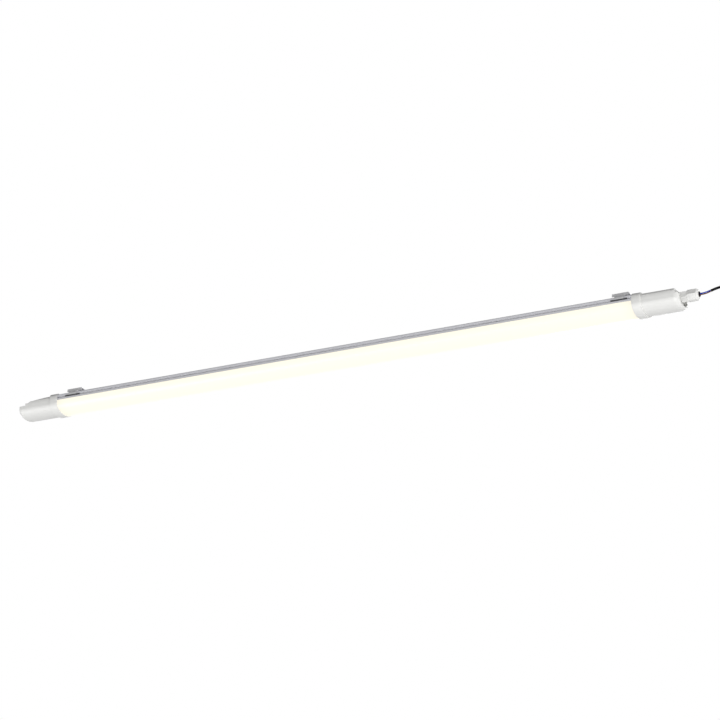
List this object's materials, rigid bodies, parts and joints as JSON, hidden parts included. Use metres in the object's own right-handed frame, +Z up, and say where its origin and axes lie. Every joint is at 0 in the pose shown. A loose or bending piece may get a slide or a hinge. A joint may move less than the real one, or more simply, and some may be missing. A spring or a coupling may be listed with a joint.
{
  "type": "under-cabinet light",
  "caption": "Slim damp-proof light for under a cabinet: opal diffuser, grey back, end caps, spring clips, cable gland and a coiled two-core lead.",
  "frame": {"origin": "in the plane of the cabinet's underside, over the light's middle line, half way between the outer ends of the two end caps", "axes": "+X along the light towards its lead, -Y the side the picture shows, +Z up into the cabinet"},
  "size_m": [1.3381, 0.0546, 0.1043],
  "materials": {
    "housing": "satin grey back",
    "diffuser": "opal, lit from inside",
    "cap": "fine satin",
    "steel": "brushed",
    "rubber": "matt",
    "tray": "white coated",
    "board": "white solder mask",
    "driver": "satin",
    "circuit": "circuit board",
    "terminal": "satin",
    "button": "satin",
    "brass": "satin",
    "blue_wire": "soft",
    "brown_wire": "soft",
    "red_wire": "soft",
    "black_wire": "soft sheath",
    "tin": "tinned"
  },
  "bodies": {
    "light": {"housing": "housing", "diffuser": "diffuser", "gear_tray": "tray", "lamp_board_1": "board", "lamp_board_2": "board", "lamp_board_3": "board", "lamp_board_4": "board", "board_link_1": "terminal", "board_link_2": "terminal", "board_link_3": "terminal", "driver_case": "driver", "driver_lid": "driver", "driver_board": "circuit", "driver_screw_1": "steel", "driver_screw_2": "steel", "terminal_block": "terminal", "terminal_contact_live": "brass", "terminal_contact_neutral": "brass", "driver_input_blue": "blue_wire", "driver_input_brown": "brown_wire", "driver_output_red": "red_wire", "driver_output_black": "black_wire", "lead_end_cap": "cap", "blind_end_cap": "cap", "blind_cap_gasket": "rubber", "lead_cap_gasket": "rubber", "blind_cap_screw_1": "steel", "blind_cap_screw_2": "steel", "lead_cap_screw_1": "steel", "lead_cap_screw_2": "steel", "gland_body": "cap", "gland_washer": "rubber", "gland_claw": "cap", "gland_seal": "rubber", "feed_core_blue": "blue_wire", "feed_core_brown": "brown_wire", "cord_stretch": "black_wire", "cord_coil": "black_wire", "coil_tie_top": "black_wire", "coil_tie_bottom": "black_wire", "tail_core_blue": "blue_wire", "tail_core_brown": "brown_wire", "ferrule_blue": "tin", "ferrule_brown": "tin"},
    "blind_end_clip": {"blind_end_clip": "steel"},
    "lead_end_clip": {"lead_end_clip": "steel"},
    "gland_nut": {"gland_nut": "cap"},
    "live_button": {"terminal_button_live": "button"},
    "neutral_button": {"terminal_button_neutral": "button"}
  },
  "joints": [
    {"name": "blind_clip_slide", "type": "slide", "parent": "light", "child": "blind_end_clip", "axis": [1, 0, 0], "range_m": [-0.014, 0.3]},
    {"name": "lead_clip_slide", "type": "slide", "parent": "light", "child": "lead_end_clip", "axis": [1, 0, 0], "range_m": [-0.3, 0.006]},
    {"name": "gland_nut_turn", "type": "hinge", "parent": "light", "child": "gland_nut", "pos_m": [0.6173, 0, -0.0172], "axis": [1, 0, 0], "range_deg": [0, 720]},
    {"name": "live_button_press", "type": "slide", "parent": "light", "child": "live_button", "axis": [0, 0, -1], "range_m": [0, 0.0008], "stiffness_N_per_m": 400},
    {"name": "neutral_button_press", "type": "slide", "parent": "light", "child": "neutral_button", "axis": [0, 0, -1], "range_m": [0, 0.0008], "stiffness_N_per_m": 400}
  ]
}
